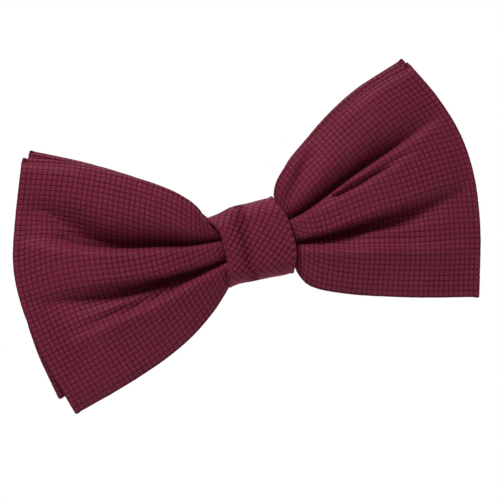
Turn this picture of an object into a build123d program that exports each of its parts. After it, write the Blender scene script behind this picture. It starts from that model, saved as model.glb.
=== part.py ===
from build123d import *
import os
from math import asin, degrees, pi

# A clip-on bow tie, in millimetres. X runs along the bow, +Z is up and the front faces -Y.
# The origin is the middle of the knot's rear face, which rests on the shirt placket.

# Cloth: each panel is a folded strip of cover fabric with an interlining sheet inside it.
panel_wall = 1.4
slot_skin = 0.4  # fabric left over each face of the interlining slot
slot_width = 0.6
slot_play = 0.05  # clearance round the interlining sheet, on each face
slot_edge = 1.3  # cover fabric folded over the interlining's long edges, measured upright
interlining_edge = 1.5
loop_gap = 0.8  # where a tier's two ends meet, behind the waist
interlining_gap = 2.0

# Each tier, seen from the front: the rounded outer edges are arcs of large circles, given as
# (centre x, centre z, radius), and the upper and lower edges are curves from the waist past a
# shoulder and a middle point to a corner.
left_waist_x = -10.6
right_waist_x = 8.6
waist_half_height = 7.8
edge_overrun = 18  # the edges run on this far past the corners before they are trimmed

front_tier = {
    "left_edge": (12.1, -1.2, 73.4),
    "right_edge": (-7.8, 1.1, 66.1),
    "upper_left": ((-15.0, 16.4), (-31.0, 27.6), (-51.1, 36.2)),
    "lower_left": ((-15.0, -13.8), (-31.0, -22.6), (-55.7, -29.5)),
    "upper_right": ((13.0, 16.0), (29.0, 26.2), (50.2, 32.7)),
    "lower_right": ((13.0, -16.0), (29.0, -22.7), (50.9, -29.1)),
    # depth in Y of the front and rear faces at the waist, at the crown and at the wing tips
    "front_face": (-13.5, -17.2, -12.4),
    "rear_face": (-8.9, -9.9, -9.4),
}
back_tier = {
    "left_edge": (15.4, -4.2, 76.9),
    "right_edge": (-13.3, 0.3, 71.1),
    "upper_left": ((-15.0, 15.6), (-30.0, 27.6), (-48.8, 38.1)),
    "lower_left": ((-15.0, -13.0), (-31.0, -20.6), (-58.8, -24.3)),
    "upper_right": ((13.0, 15.4), (29.0, 26.6), (49.0, 34.5)),
    "lower_right": ((13.0, -15.4), (29.0, -21.8), (52.5, -26.5)),
    "front_face": (-8.6, -9.4, -8.9),
    "rear_face": (-4.0, -4.2, -5.9),
}
crown_x = 26
tip_x = 64
tier_reach = 50  # half height of the stock that each tier is trimmed from

# Knot: a strip wrapped round the waist, with both side edges bowed towards the right.
knot_depth = 16
knot_height = 20
knot_wall = 1.5
knot_corner = 3
knot_left_edge = ((-10.4, 10.0), (-8.0, 0.0), (-9.8, -10.0))
knot_right_edge = ((7.4, 10.0), (9.9, 0.0), (7.2, -10.0))
knot_stock = 14
knot_rim_run = 2
seam_z = -4.8
seam_gap = 0.6
knot_interlining_gap = 3.2
seam_channel_width = 2.4
seam_channel_depth = 0.55

# Thread
thread_radius = 0.2
binding_turns = 6
binding_pitch = 0.36  # neighbouring turns press into each other
binding_clearance = 0.15
seam_stitch_count = 7
seam_stitch_pitch = 2.0
seam_stitch_length = 1.5
seam_stitch_slant = 20  # degrees
loop_stitch_count = 5
loop_stitch_pitch = 2.6
loop_stitch_length = 1.8
tack_x = 6.0
stitch_clearance = 0.1

# Clip strip
steel = 0.7
base_rear = -2.1
base_half_length = 31
base_height = 11
base_bar_height = 8
base_bar_half_length = 11.5
base_corner = 3
bar_corner = 0.7
sew_hole_radius = 0.6
sew_hole_spacing = 4.0

# Hinge of each jaw
pivot_x = 18
pivot_y = base_rear + 3.0
pin_radius = 0.75
pin_play = 0.05
pin_head_radius = 1.25
pin_head_height = 0.55
ear_radius = 2.2
ear_thickness = 0.8
ear_outer_z = base_height / 2
bend_radius = 0.5

# Jaw
jaw_half_height = 4.4
cheek_thickness = 0.8
cheek_radius = 1.9
cheek_top_width = 4.4
tab_end_x = 11
tab_y = base_rear + 5.3  # underside of the finger tab
tab_corner = 1.5
shoulder_x = 20.6
lip_x = 27.6
lip_y = base_rear + 2.4
tooth_x = 29
tip_clearance = 0.1
tooth_count = 5
tooth_depth = 1.2
tooth_gap = 0.7
rib_radius = 0.3
rib_count = 3
rib_pitch = 1.3
rib_half_length = 3.2

# Torsion spring
wire_radius = 0.3
coil_radius = 1.25
coil_pitch = 0.65
coil_whole_turns = 4
leg_length = 5.8
leg_play = 0.04


def edge_lens(tier, inset):
    """Front view of the space between a tier's two rounded outer edges, moved in by inset."""
    left_x, left_z, left_radius = tier["left_edge"]
    right_x, right_z, right_radius = tier["right_edge"]
    with BuildSketch(Plane.XZ) as lens:
        with Locations((left_x, left_z)):
            Circle(left_radius - inset)
        with Locations((right_x, right_z)):
            Circle(right_radius - inset, mode=Mode.INTERSECT)
    return lens.sketch


def bow_fan(tier, inset):
    """Front view of a tier between its upper and lower edges, each moved inwards by inset."""
    with BuildSketch(Plane.XZ) as fan:
        with BuildLine():
            starts, ends = {}, {}
            for name, waist_x, side in (
                ("upper_left", left_waist_x, 1),
                ("lower_left", left_waist_x, -1),
                ("upper_right", right_waist_x, 1),
                ("lower_right", right_waist_x, -1),
            ):
                course = [(waist_x, side * waist_half_height), *tier[name]]
                edge = Spline(*[(x, z - side * inset) for x, z in course])
                run = Line(edge @ 1, edge @ 1 + (edge % 1) * edge_overrun)
                starts[name] = edge @ 0
                ends[name] = run @ 1
            Line(ends["upper_left"], ends["lower_left"])
            Line(ends["upper_right"], ends["lower_right"])
            Line(starts["upper_left"], starts["upper_right"])
            Line(starts["lower_left"], starts["lower_right"])
        make_face()
    return fan.sketch


def loop_stock(tier, inset):
    """Solid between a tier's front and rear faces, moved in by inset, open-ended up and down."""
    front_waist, front_crown, front_tip = tier["front_face"]
    rear_waist, rear_crown, rear_tip = tier["rear_face"]
    with BuildPart() as stock:
        with BuildSketch(Plane.XY.offset(-tier_reach)):
            with BuildLine():
                front = Spline(
                    (-tip_x, front_tip + inset),
                    (-crown_x, front_crown + inset),
                    (0, front_waist + inset),
                    (crown_x, front_crown + inset),
                    (tip_x, front_tip + inset),
                )
                rear = Spline(
                    (-tip_x, rear_tip - inset),
                    (-crown_x, rear_crown - inset),
                    (0, rear_waist - inset),
                    (crown_x, rear_crown - inset),
                    (tip_x, rear_tip - inset),
                )
                Line(front @ 0, rear @ 0)
                Line(front @ 1, rear @ 1)
            make_face()
        extrude(amount=2 * tier_reach)
        extrude(edge_lens(tier, inset), amount=tier_reach, both=True, mode=Mode.INTERSECT)
    return stock.part


def rear_opening(tier, gap):
    """The space between a tier's two ends, through its rear panel only."""
    with BuildPart() as opening:
        with BuildSketch(Plane.XZ.offset(-tier["rear_face"][0])):
            Rectangle(gap, 2 * tier_reach)
        extrude(amount=1.5 * panel_wall, both=True)
    return opening.part


def loop_sheet(tier, skin, thickness, edge, gap):
    """A looped sheet inside a tier's wall, skin under its surface and edge in from its long edges."""
    outer = loop_stock(tier, skin)
    inner = loop_stock(tier, skin + thickness)
    with BuildPart() as sheet:
        add(outer)
        add(inner, mode=Mode.SUBTRACT)
        extrude(bow_fan(tier, edge), amount=tier_reach, both=True, mode=Mode.INTERSECT)
        add(rear_opening(tier, gap), mode=Mode.SUBTRACT)
    return sheet.part


def knot_face(edge):
    """Front view of the knot between its bowed side edges, moved in by edge."""
    rim = knot_height / 2 + knot_rim_run
    with BuildSketch(Plane.XZ) as face:
        with BuildLine():
            left = ThreePointArc(*[(x + edge, z) for x, z in knot_left_edge])
            right = ThreePointArc(*[(x - edge, z) for x, z in knot_right_edge])
            Polyline(left @ 0, ((left @ 0).X, rim), ((right @ 0).X, rim), right @ 0)
            Polyline(left @ 1, ((left @ 1).X, -rim), ((right @ 1).X, -rim), right @ 1)
        make_face()
    return face.sketch


def knot_ring(skin, thickness, edge, gap):
    """A ring of the knot's wrapped strip, skin under its outer face, with a slit along the seam."""
    outer_corner = knot_corner - skin
    with BuildPart() as ring:
        with BuildSketch(Plane.YZ.offset(-knot_stock)):
            with Locations((-knot_depth / 2, 0)):
                RectangleRounded(knot_depth - 2 * skin, knot_height - 2 * skin, outer_corner)
                RectangleRounded(
                    knot_depth - 2 * (skin + thickness),
                    knot_height - 2 * (skin + thickness),
                    outer_corner - thickness,
                    mode=Mode.SUBTRACT,
                )
        extrude(amount=2 * knot_stock)
        extrude(knot_face(edge), amount=2 * knot_depth, both=True, mode=Mode.INTERSECT)
        with BuildSketch(Plane.XZ):
            with Locations((0, seam_z)):
                Rectangle(2 * knot_stock, gap)
        extrude(amount=2 * knot_wall, both=True, mode=Mode.SUBTRACT)
    return ring.part


def thread_bar(length):
    """A short length of thread with rounded ends, lying along Z."""
    with BuildPart() as bar:
        Cylinder(thread_radius, length)
        fillet(bar.edges(), radius=0.9 * thread_radius)
    return bar.part


def thread_loop(depth, height, corner):
    """A closed loop of thread in the YZ plane, round a rectangle centred on the origin."""
    with BuildSketch(Plane.YZ) as course:
        RectangleRounded(depth, height, corner)
    path = course.sketch.face().outer_wire()
    with BuildPart() as loop:
        with BuildSketch(Plane(path @ 0, z_dir=path % 0)):
            Circle(thread_radius)
        sweep(path=path)
    return loop.part


# Front tier: a fabric loop with a slot for its interlining
front_stock = loop_stock(front_tier, 0)
front_cavity = loop_stock(front_tier, panel_wall)
front_slot = loop_sheet(front_tier, slot_skin, slot_width, slot_edge, loop_gap)
with BuildPart() as front_bow_cover:
    add(front_stock)
    add(front_cavity, mode=Mode.SUBTRACT)
    extrude(bow_fan(front_tier, 0), amount=tier_reach, both=True, mode=Mode.INTERSECT)
    add(front_slot, mode=Mode.SUBTRACT)
    add(rear_opening(front_tier, loop_gap), mode=Mode.SUBTRACT)

# Back tier, made in the same way
back_stock = loop_stock(back_tier, 0)
back_cavity = loop_stock(back_tier, panel_wall)
back_slot = loop_sheet(back_tier, slot_skin, slot_width, slot_edge, loop_gap)
with BuildPart() as back_bow_cover:
    add(back_stock)
    add(back_cavity, mode=Mode.SUBTRACT)
    extrude(bow_fan(back_tier, 0), amount=tier_reach, both=True, mode=Mode.INTERSECT)
    add(back_slot, mode=Mode.SUBTRACT)
    add(rear_opening(back_tier, loop_gap), mode=Mode.SUBTRACT)

# Interlining sheets, a little smaller than their slots
interlining_skin = slot_skin + slot_play
interlining_thickness = slot_width - 2 * slot_play
with BuildPart() as front_bow_interlining:
    add(
        loop_sheet(
            front_tier, interlining_skin, interlining_thickness, interlining_edge, interlining_gap
        )
    )
with BuildPart() as back_bow_interlining:
    add(
        loop_sheet(
            back_tier, interlining_skin, interlining_thickness, interlining_edge, interlining_gap
        )
    )

# Thread bars that close both loops behind the waist
with BuildPart() as loop_seam_stitches:
    for tier in (front_tier, back_tier):
        y = tier["rear_face"][0] - panel_wall - thread_radius - stitch_clearance
        with Locations(*[(0, y, loop_stitch_pitch * (i - 2)) for i in range(loop_stitch_count)]):
            add(thread_bar(loop_stitch_length), rotation=(0, 90, 0))

# Thread turned round the pinched waist of both tiers
waist_front = front_tier["front_face"][0] - binding_clearance
waist_rear = back_tier["rear_face"][0] + binding_clearance
binding_turn = thread_loop(
    waist_rear - waist_front + 2 * thread_radius,
    2 * (waist_half_height + binding_clearance + thread_radius),
    1.5 * thread_radius,
)
with BuildPart() as waist_binding:
    for turn in range(binding_turns):
        x = binding_pitch * (turn - (binding_turns - 1) / 2)
        with Locations((x, (waist_front + waist_rear) / 2, 0)):
            add(binding_turn)

# Knot: the wrapped strip, its seam channel and its interlining
knot_slot = knot_ring(slot_skin, slot_width, slot_edge, seam_gap)
with BuildPart() as knot_wrap:
    add(knot_ring(0, knot_wall, 0, seam_gap))
    add(knot_slot, mode=Mode.SUBTRACT)
    with BuildSketch(Plane.XZ):
        with Locations((0, seam_z)):
            Rectangle(2 * knot_stock, seam_channel_width)
    extrude(amount=seam_channel_depth, mode=Mode.SUBTRACT)
with BuildPart() as knot_interlining:
    add(
        knot_ring(
            interlining_skin, interlining_thickness, interlining_edge, knot_interlining_gap
        )
    )

# Whip stitches along the knot's seam, sunk in the channel
with BuildPart() as knot_seam_stitches:
    middle = (seam_stitch_count - 1) / 2
    y = -seam_channel_depth / 2
    with Locations(
        *[(seam_stitch_pitch * (i - middle), y, seam_z) for i in range(seam_stitch_count)]
    ):
        add(thread_bar(seam_stitch_length), rotation=(0, seam_stitch_slant, 0))

# Clip strip: a flat bar with wider ends, four ears for the hinge pins and four sewing holes
with BuildPart() as clip_base:
    with BuildSketch(Plane.XZ.offset(-base_rear)) as strip:
        Rectangle(2 * base_half_length, base_height)
        fillet(strip.vertices(), radius=base_corner)
        for side in (-1, 1):
            with Locations((0, side * (base_height + base_bar_height) / 2)):
                Rectangle(
                    2 * base_bar_half_length,
                    base_height,
                    mode=Mode.SUBTRACT,
                )
        fillet(
            strip.vertices().filter_by_position(
                Axis.X, -base_bar_half_length, base_bar_half_length
            ),
            radius=bar_corner,
        )
        with GridLocations(2 * tack_x, sew_hole_spacing, 2, 2):
            Circle(sew_hole_radius, mode=Mode.SUBTRACT)
    extrude(amount=steel)
    for side in (-1, 1):
        with BuildSketch(Plane.XY.offset(-ear_outer_z)):
            with Locations((side * pivot_x, pivot_y)):
                Circle(ear_radius)
            with Locations((side * pivot_x, (pivot_y + base_rear - steel) / 2)):
                Rectangle(2 * ear_radius, pivot_y - base_rear + steel)
            with Locations((side * pivot_x, pivot_y)):
                Circle(pin_radius + pin_play, mode=Mode.SUBTRACT)
        extrude(amount=ear_thickness)
    mirror(about=Plane.XY)
    fillet(clip_base.edges().filter_by(Axis.X).group_by(Axis.Y)[0], radius=bend_radius)

# Thread through the sewing holes, which holds the strip to the back of the bow
tack_front = base_rear - steel - thread_radius - stitch_clearance
tack_rear = base_rear + thread_radius + stitch_clearance
tack_loop = thread_loop(tack_rear - tack_front, sew_hole_spacing, 2 * thread_radius)
with BuildPart() as clip_tack_stitches:
    with Locations(*[(side * tack_x, (tack_front + tack_rear) / 2, 0) for side in (-1, 1)]):
        add(tack_loop)

# Right jaw: a bent plate with two cheeks on the pin, a ribbed finger tab and a toothed lip
with BuildPart() as clip_jaw_right:
    with BuildSketch(Plane.XY.offset(-jaw_half_height)):
        with BuildLine():
            FilletPolyline(
                (tab_end_x, tab_y),
                (shoulder_x, tab_y),
                (lip_x, lip_y),
                (tooth_x, base_rear + tip_clearance),
                radius=steel,
            )
            offset(amount=steel, side=Side.LEFT)
        make_face()
    extrude(amount=2 * jaw_half_height)
    with BuildSketch(Plane.XY.offset(-rib_half_length)):
        with Locations((tab_end_x + 2 * rib_pitch, tab_y + steel)):
            with GridLocations(rib_pitch, 1, rib_count, 1):
                Circle(rib_radius)
    extrude(amount=2 * rib_half_length)
    fillet(
        clip_jaw_right.edges().filter_by(Axis.Y).group_by(Axis.X)[0], radius=tab_corner
    )
    with BuildSketch(Plane.XY.offset(-jaw_half_height)):
        with Locations((pivot_x, pivot_y)):
            Circle(cheek_radius)
        with Locations((pivot_x, tab_y + steel / 4)):
            Rectangle(cheek_top_width, steel / 2)
        make_hull()
        with Locations((pivot_x, pivot_y)):
            Circle(pin_radius + pin_play, mode=Mode.SUBTRACT)
    extrude(amount=cheek_thickness)
    mirror(about=Plane.XY)
    tooth_pitch = 2 * jaw_half_height / tooth_count
    with BuildSketch(Plane.XZ.offset(-base_rear)):
        with Locations((tooth_x, 0)):
            with GridLocations(1, tooth_pitch, 1, tooth_count - 1):
                Rectangle(4 * steel, tooth_gap)
    extrude(amount=-tooth_depth, mode=Mode.SUBTRACT)

with BuildPart() as clip_jaw_left:
    add(mirror(clip_jaw_right.part, about=Plane.YZ))

# Hinge pins: a plain shaft with a riveted head at each end
with BuildPart() as hinge_pin_right:
    with BuildSketch(Plane.XY.offset(-ear_outer_z)):
        with Locations((pivot_x, pivot_y)):
            Circle(pin_radius)
    extrude(amount=2 * ear_outer_z)
    with BuildSketch(Plane.XY.offset(ear_outer_z)):
        with Locations((pivot_x, pivot_y)):
            Circle(pin_head_radius)
    extrude(amount=pin_head_height)
    fillet(hinge_pin_right.edges().group_by(Axis.Z)[-1], radius=0.8 * pin_head_height)
    mirror(about=Plane.XY)

with BuildPart() as hinge_pin_left:
    add(mirror(hinge_pin_right.part, about=Plane.YZ))

# Torsion springs: a coil round each pin, one leg on the strip and one under the finger tab
lower_leg_drop = pivot_y - coil_radius - base_rear - wire_radius - leg_play
upper_leg_rise = tab_y - wire_radius - leg_play - pivot_y - coil_radius
lower_tilt = asin(lower_leg_drop / leg_length)
upper_tilt = asin(upper_leg_rise / leg_length)
coil_turns = coil_whole_turns + 0.5 - (lower_tilt + upper_tilt) / (2 * pi)
coil_height = coil_pitch * coil_turns
coil_start = Pos(pivot_x, pivot_y, -coil_height / 2) * Rot(0, 0, degrees(lower_tilt) - 90)
course = coil_start * Helix(coil_pitch, coil_height, coil_radius)
with BuildPart() as torsion_spring_right:
    with BuildSketch(Plane(origin=course @ 0, z_dir=course % 0)):
        Circle(wire_radius)
    sweep(path=course, is_frenet=True)
    for place, heading in ((course @ 0, -(course % 0)), (course @ 1, course % 1)):
        with BuildSketch(Plane(origin=place, z_dir=heading)):
            Circle(wire_radius)
        extrude(amount=leg_length)

with BuildPart() as torsion_spring_left:
    add(mirror(torsion_spring_right.part, about=Plane.YZ))

pieces = {
    "front_bow_cover": front_bow_cover,
    "front_bow_interlining": front_bow_interlining,
    "back_bow_cover": back_bow_cover,
    "back_bow_interlining": back_bow_interlining,
    "loop_seam_stitches": loop_seam_stitches,
    "waist_binding": waist_binding,
    "knot_wrap": knot_wrap,
    "knot_interlining": knot_interlining,
    "knot_seam_stitches": knot_seam_stitches,
    "clip_base": clip_base,
    "clip_tack_stitches": clip_tack_stitches,
    "clip_jaw_left": clip_jaw_left,
    "clip_jaw_right": clip_jaw_right,
    "hinge_pin_left": hinge_pin_left,
    "hinge_pin_right": hinge_pin_right,
    "torsion_spring_left": torsion_spring_left,
    "torsion_spring_right": torsion_spring_right,
}
os.makedirs("parts", exist_ok=True)
for name, piece in pieces.items():
    piece.part.label = name
    export_step(piece.part, f"parts/{name}.step")
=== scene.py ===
"""Looks of the clip-on bow tie: pleated tiers, wrapped knot, linings, threads, springs and metals."""

import math

import bpy
import numpy as np
from mathutils import Matrix, Vector


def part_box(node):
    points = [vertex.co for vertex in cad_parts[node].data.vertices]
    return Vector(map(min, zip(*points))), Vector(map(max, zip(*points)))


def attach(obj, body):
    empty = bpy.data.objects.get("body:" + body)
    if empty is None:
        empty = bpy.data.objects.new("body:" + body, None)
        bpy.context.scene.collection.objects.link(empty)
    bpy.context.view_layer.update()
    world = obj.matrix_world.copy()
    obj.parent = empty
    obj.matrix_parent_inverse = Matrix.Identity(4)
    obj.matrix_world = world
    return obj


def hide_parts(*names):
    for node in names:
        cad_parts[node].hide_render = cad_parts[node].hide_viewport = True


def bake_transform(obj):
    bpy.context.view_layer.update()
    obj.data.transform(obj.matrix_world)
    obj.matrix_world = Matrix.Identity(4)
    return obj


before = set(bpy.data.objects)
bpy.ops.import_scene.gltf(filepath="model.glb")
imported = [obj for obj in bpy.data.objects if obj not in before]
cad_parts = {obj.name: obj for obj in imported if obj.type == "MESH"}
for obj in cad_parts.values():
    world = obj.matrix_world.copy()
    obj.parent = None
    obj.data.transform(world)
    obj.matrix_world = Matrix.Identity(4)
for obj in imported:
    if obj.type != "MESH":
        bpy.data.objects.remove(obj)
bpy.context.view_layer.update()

MM = 0.001


# Cloth, all in millimetres and in weave cells
ROWS = 50                  # cells across the strip, from its lower edge to its upper edge
WING_CELLS = 38            # cells from the knot to the outer fold
WAIST_CELLS = 13           # cells hidden under the knot
FOLD_CELLS = 4             # cells round the outer fold
PANEL_CELLS = 2 * WING_CELLS + WAIST_CELLS
RING_CELLS = 2 * (PANEL_CELLS + FOLD_CELLS)
CELL_SIZE = 1.33
CLOTH_THICK = 1.4
GROOVE_DEPTH = 0.07        # of the lines between cells, in the mesh
RIBS_PER_CELL = 4
GROOVE_SHARE = 0.13        # of a cell, on each side of a line
SETTLE_SCALE = 0.01        # simulated metres to a millimetre
SETTLE_GROWTH = 0.01       # how much too big the settling cloth is
SETTLE_FRAMES = 20
SETTLE_RIM = 2             # cells held still along every edge of a wing
SETTLE_CAP = 0.7           # farthest a point may move, in mm
SETTLE_EASING = 8          # rounds of averaging that take kinks out of how the cloth moved
JITTER = 0.012             # unevenness of the weave, in mm
ROLL_WIDTH = 2.2           # of the rounding towards the strip's edges
ROLL_DEPTH = 0.8
LEAST_ROLL = 0.3           # share of that rounding on a panel without folds
SQUARENESS = 0.45          # of the folded edges: 1 is a half circle, less is squarer
SQUEEZED = 0.7             # half the strip of a pleat's bottom that holds its hidden cloth
DOME_START = 0.1           # where on the half wave of its dome a wing starts
DOME_GROWTH = 1.2          # and how far along it the whole wing goes
FIRM_SHOULDER = 2.4        # powers of a fold's fall-off, on its narrow side and on its wide side
SOFT_SHOULDER = 1.4
HIDE_REACH = (1, 2)        # neighbours along columns and rows that a hidden sheet stays behind
ASKEW = (0.31, 0.87, 0.39)  # a direction that no thread runs along

# Sheets inside the cloth: how far below its faces, and how many cells short of its seam and of its edges
POCKET = {"gap": 0.35, "seam": 0.4, "edge": 0.5}
LINING = {"gap": 0.45, "seam": 1.2, "edge": 0.8}

# Sewing
PLY_STEP = 0.1             # length of a thread's mesh segments
PLY_TURN = 1.1             # length of a thread's full twist
PLY_SHARE = 0.58           # radius of a ply over its thread's

# Outlines seen from the front, from the knot outwards and from the lower corner up
FRONT_LEFT = {
    "top": [(-8.0, 7.7), (-10.2, 9.2), (-12.1, 13.0), (-15, 16.4), (-19, 19.8), (-27, 25.0), (-35, 29.4),
            (-43, 33.1), (-51.5, 36.1)],
    "bottom": [(-8.0, -7.7), (-9.9, -9.6), (-15, -14.0), (-23, -19.1), (-31, -22.6), (-39, -25.2),
               (-47, -27.4), (-56.1, -29.6)],
    "edge": [(-56.1, -29.6), (-60.2, -12), (-61.6, 1), (-60.8, 11), (-57.4, 21.6), (-51.5, 36.1)],
}
FRONT_RIGHT = {
    "top": [(8.0, 7.6), (8.2, 10.2), (9.8, 13.2), (13, 16.2), (17, 18.8), (25, 22.9), (33, 26.8),
            (41, 30.0), (50.6, 32.5)],
    "bottom": [(8.0, -7.6), (8.6, -10.8), (10.4, -14.2), (13, -16.2), (21, -19.9), (29, -22.7),
               (37, -25.3), (51.3, -29.3)],
    "edge": [(51.3, -29.3), (56.5, -11.5), (58.4, 1.5), (57.9, 12), (55.0, 22.6), (50.6, 32.5)],
}
BACK_LEFT = {
    "top": [(-8.0, 7.7), (-10.4, 9.9), (-15, 16.6), (-23, 22.7), (-31, 28.0), (-39, 32.7), (-49.3, 38.0)],
    "bottom": [(-8.0, -7.7), (-10.2, -9.5), (-15, -13.2), (-23, -17.6), (-31, -20.3), (-45, -22.9),
               (-59.3, -24.8)],
    "edge": [(-59.3, -24.8), (-61.2, -12), (-61.5, -1), (-60.2, 11.5), (-55.6, 24.4), (-49.3, 38.0)],
}
BACK_RIGHT = {
    "top": [(8.0, 7.6), (9.0, 10.4), (13, 16.4), (21, 22.1), (29, 27.0), (37, 30.7), (49.5, 34.4)],
    "bottom": [(8.0, -7.6), (8.8, -10.4), (13, -15.4), (21, -19.0), (29, -21.6), (39, -24.2), (51.6, -26.6)],
    "edge": [(51.6, -26.6), (56.4, -11.5), (57.9, 1.5), (57.0, 12), (54.2, 22.6), (49.5, 34.4)],
}

# Folds of a wing, read from the front. A fold's line is given as stops (distance out, height), and its depth
# and its widths above and below the line as stops (distance out, value). A negative depth is a ridge. The
# first two folds of each wing are the pleats, which hide the spare cloth.
LEFT_FOLDS = [
    {"line": [(8, -2.5), (20, -2.9), (30, -2.4), (40, -1.6), (50, -1.0), (62, -0.5)],
     "depth": [(8, 1.0), (11, 2.2), (16, 3.6), (24, 4.6), (34, 4.0), (42, 2.8), (50, 1.4), (60, 0.0)],
     "above": [(8, 0.5), (13, 0.7), (28, 0.9), (44, 1.5), (60, 2.5)],
     "below": [(8, 0.7), (13, 1.2), (24, 2.9), (36, 4.2), (60, 5.5)]},
    {"line": [(8, 2.9), (14, 3.9), (20, 5.2), (30, 7.6), (40, 11.0), (50, 15.5), (62, 20.5)],
     "depth": [(8, 1.0), (11, 2.2), (16, 3.6), (24, 4.9), (34, 5.1), (42, 4.4), (50, 2.3), (59, 0.0)],
     "above": [(8, 0.7), (13, 1.4), (22, 2.9), (35, 4.3), (48, 6.5), (60, 7.5)],
     "below": [(8, 0.5), (13, 0.7), (28, 0.9), (44, 1.4), (60, 2.5)]},
    {"line": [(14, -4.0), (22, -4.4), (30, -4.9), (40, -5.9), (52, -7.2)],
     "depth": [(14, 0.0), (22, -0.5), (34, -0.6), (44, -0.4), (52, 0.0)],
     "above": [(14, 0.7), (50, 1.0)], "below": [(14, 0.8), (50, 1.1)]},
    {"line": [(10, -4.4), (20, -6.6), (30, -9.1), (40, -10.3), (54, -12.8)],
     "depth": [(10, 0.0), (16, -0.9), (30, -1.4), (44, -1.1), (54, 0.0)],
     "above": [(10, 0.8), (50, 1.6)], "below": [(10, 2.0), (50, 4.0)]},
    {"line": [(18, -4.9), (28, -6.6), (38, -7.9), (50, -9.8)],
     "depth": [(18, 0.0), (26, 0.7), (38, 0.8), (50, 0.0)],
     "above": [(18, 0.8), (50, 1.0)], "below": [(18, 0.7), (50, 1.0)]},
    {"line": [(36, 13.5), (43, 17.5), (50, 21.5), (57, 25.0)],
     "depth": [(36, 0.0), (43, 0.9), (50, 1.3), (57, 0.2)],
     "above": [(36, 4.5), (57, 5.5)], "below": [(36, 2.5), (57, 3.0)]},
]
RIGHT_FOLDS = [
    {"line": [(8, -2.8), (14, -3.2), (20, -3.3), (30, -3.0), (40, -2.6), (50, -2.0), (60, -1.4)],
     "depth": [(8, 1.0), (11, 2.2), (16, 3.7), (24, 4.7), (34, 4.1), (42, 2.7), (50, 1.3), (57, 0.0)],
     "above": [(8, 0.5), (13, 0.6), (28, 0.8), (44, 1.3), (60, 2.5)],
     "below": [(8, 0.7), (13, 1.2), (22, 3.0), (34, 4.4), (60, 5.5)]},
    {"line": [(8, 2.8), (14, 4.5), (20, 6.6), (30, 10.2), (40, 13.4), (50, 16.6), (60, 20.0)],
     "depth": [(8, 1.0), (11, 2.2), (16, 3.6), (24, 4.6), (34, 4.0), (42, 2.6), (50, 1.1), (56, 0.0)],
     "above": [(8, 0.7), (13, 1.2), (22, 2.1), (35, 2.9), (60, 4.0)],
     "below": [(8, 0.5), (13, 0.6), (35, 0.8), (60, 1.6)]},
    {"line": [(10, 2.9), (15, 3.8), (20, 4.9), (30, 7.1), (40, 9.8), (48, 12.4)],
     "depth": [(10, 0.0), (14, 0.8), (20, 1.8), (32, 1.9), (40, 0.8), (48, 0.0)],
     "above": [(10, 0.5), (20, 1.1), (48, 1.3)], "below": [(10, 0.4), (48, 0.7)]},
    {"line": [(16, -4.6), (22, -5.1), (28, -6.0), (36, -7.4), (46, -8.6)],
     "depth": [(16, 0.0), (22, -0.6), (30, -0.8), (38, -0.6), (46, 0.0)],
     "above": [(16, 0.7), (46, 0.9)], "below": [(16, 0.8), (46, 1.0)]},
    {"line": [(9, -4.2), (15, -6.8), (20, -8.3), (25, -9.8), (30, -11.0), (40, -14.0), (54, -17.2)],
     "depth": [(9, 0.0), (14, -1.1), (28, -1.6), (42, -1.3), (54, -0.2)],
     "above": [(9, 0.8), (50, 1.8)], "below": [(9, 2.2), (50, 4.0)]},
    {"line": [(8.5, 4.0), (10.5, 7.0), (13.3, 10.2), (16.7, 14.0), (21.5, 18.8), (30, 25.0)],
     "depth": [(8.5, 0.0), (11, 0.7), (14, 1.1), (20, 1.3), (25, 0.9), (30, 0.0)],
     "above": [(8.5, 1.2), (16, 1.8), (30, 2.2)], "below": [(8.5, 1.6), (16, 2.4), (30, 3.0)]},
]

# Each panel: the way it faces along Y, its level at stops on the way out, how much it domes and folds, and
# how far its upper edge stands above its tier's outline
PANELS = {
    "front_front": {
        "faces": -1,
        "levels": [(0, -13.8), (0.08, -15.2), (0.2, -16.9), (0.4, -18.0), (0.7, -16.4), (1, -12.6)],
        "dome": 1.8,
        "folding": 1.25,
        "rise": 0.0,
    },
    "front_rear": {
        "faces": 1,
        "levels": [(0, -9.0), (0.4, -9.9), (1, -9.4)],
        "dome": 0.0,
        "folding": 0.06,
        "rise": 1.0,
    },
    "back_front": {
        "faces": -1,
        "levels": [(0, -8.7), (0.4, -9.5), (1, -9.0)],
        "dome": 0.0,
        "folding": 0.06,
        "rise": 0.0,
    },
    "back_rear": {
        "faces": 1,
        "levels": [(0, -3.9), (0.4, -4.0), (1, -5.9)],
        "dome": 0.4,
        "folding": 0.55,
        "rise": 0.5,
    },
}


# ---------------------------------------------------------------- curves

def spline(at, values, where):
    """Smooth values through the stops at, values, read at where."""
    at = np.asarray(at, float)
    values = np.asarray(values, float)
    slopes = np.gradient(values, at, axis=0)
    k = np.clip(np.searchsorted(at, where, side="right") - 1, 0, len(at) - 2)
    step = at[k + 1] - at[k]
    x = np.clip((where - at[k]) / step, 0, 1)
    if values.ndim == 2:
        step = step[:, None]
        x = x[:, None]
    start = (2 * x ** 3 - 3 * x ** 2 + 1) * values[k] + (x ** 3 - 2 * x ** 2 + x) * step * slopes[k]
    end = (3 * x ** 2 - 2 * x ** 3) * values[k + 1] + (x ** 3 - x ** 2) * step * slopes[k + 1]
    return start + end


def track(stops, where):
    """A fold's or panel's value at where, from its stops of (share of the way out, value)."""
    at, values = zip(*stops)
    return np.interp(where, at, values) if len(stops) == 2 else spline(at, values, np.asarray(where, float))


def travelled(points):
    """The length along points up to each of them."""
    return np.concatenate([[0], np.cumsum(np.linalg.norm(np.diff(points, axis=0), axis=1))])


def along(points, count):
    """count points evenly spaced along a polyline."""
    length = travelled(points)
    where = np.linspace(0, length[-1], count)
    return np.stack([np.interp(where, length, column) for column in points.T], 1)


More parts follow.
